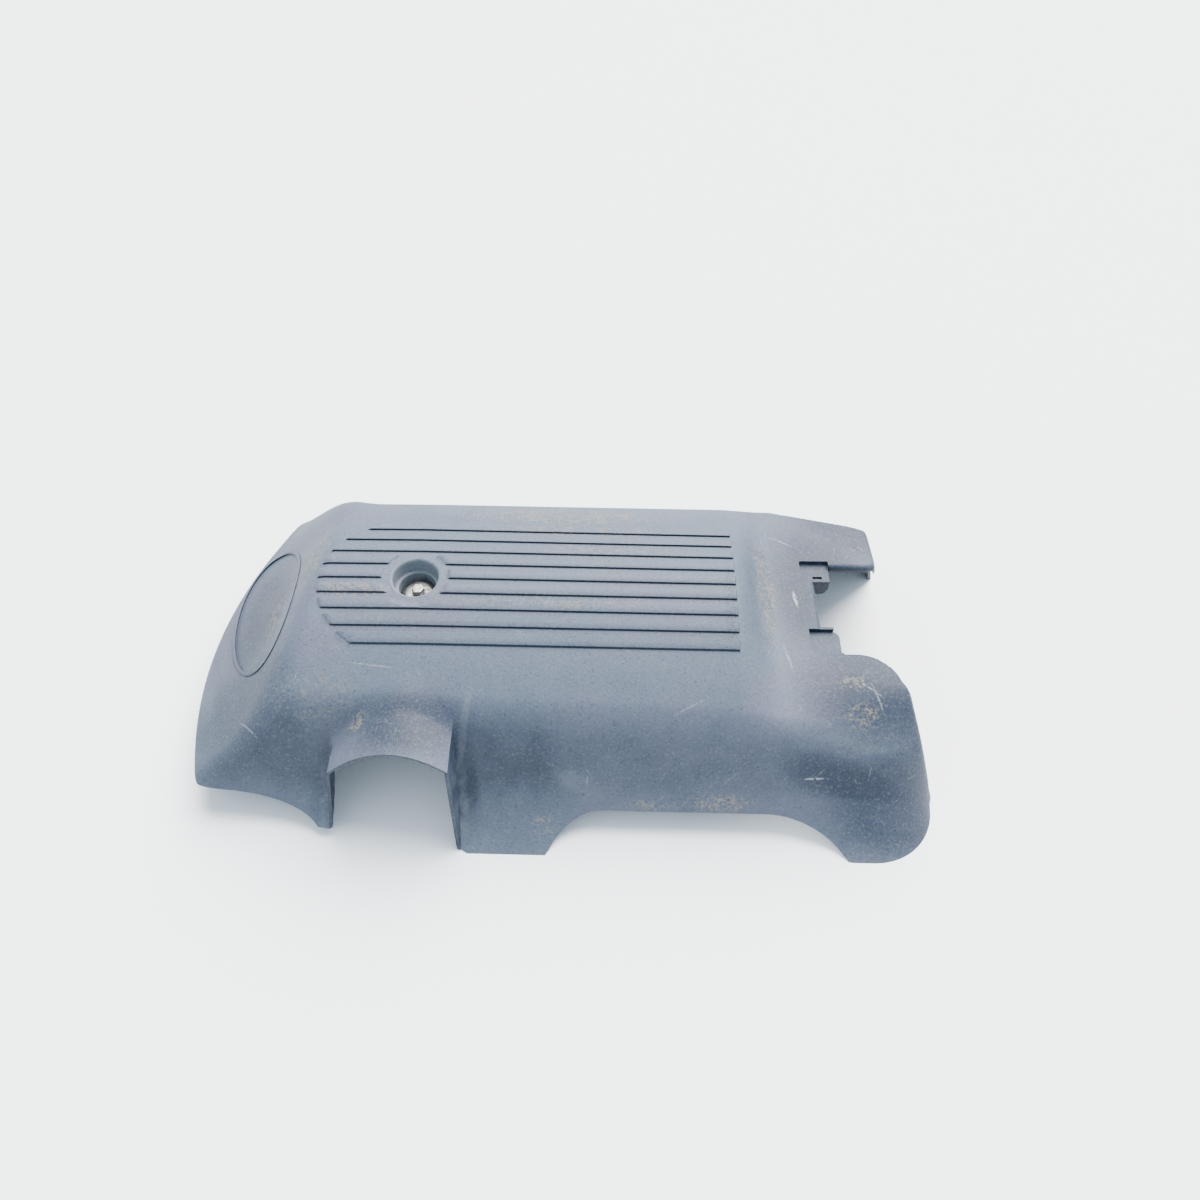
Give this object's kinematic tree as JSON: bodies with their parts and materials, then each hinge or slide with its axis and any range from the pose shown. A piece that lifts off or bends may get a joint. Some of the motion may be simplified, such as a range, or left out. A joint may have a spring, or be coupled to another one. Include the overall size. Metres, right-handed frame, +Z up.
{
  "type": "moulded engine cover",
  "caption": "Moulded plastic engine cover with raised bars, plain oval badge place, arched side duct, rear notch and a retaining bolt on a rubber grommet.",
  "frame": {"origin": "middle of the outer box in plan, at the height of the lowest rims", "axes": "+X towards the rear (bulkhead) end with the notch, +Z up, +Y towards the side without the duct"},
  "size_m": [0.6819, 0.4139, 0.142],
  "materials": {
    "moulded_plastic": "grained black moulding, faded blue-grey, dusty",
    "bolt_steel": "dull zinc-plated steel",
    "washer_steel": "dull zinc-plated steel",
    "grommet_rubber": "black rubber",
    "sleeve_steel": "plain steel tube"
  },
  "bodies": {
    "root": {"cover": "moulded_plastic", "retaining_bolt": "bolt_steel", "washer": "washer_steel", "grommet": "grommet_rubber", "sleeve": "sleeve_steel"}
  },
  "joints": []
}
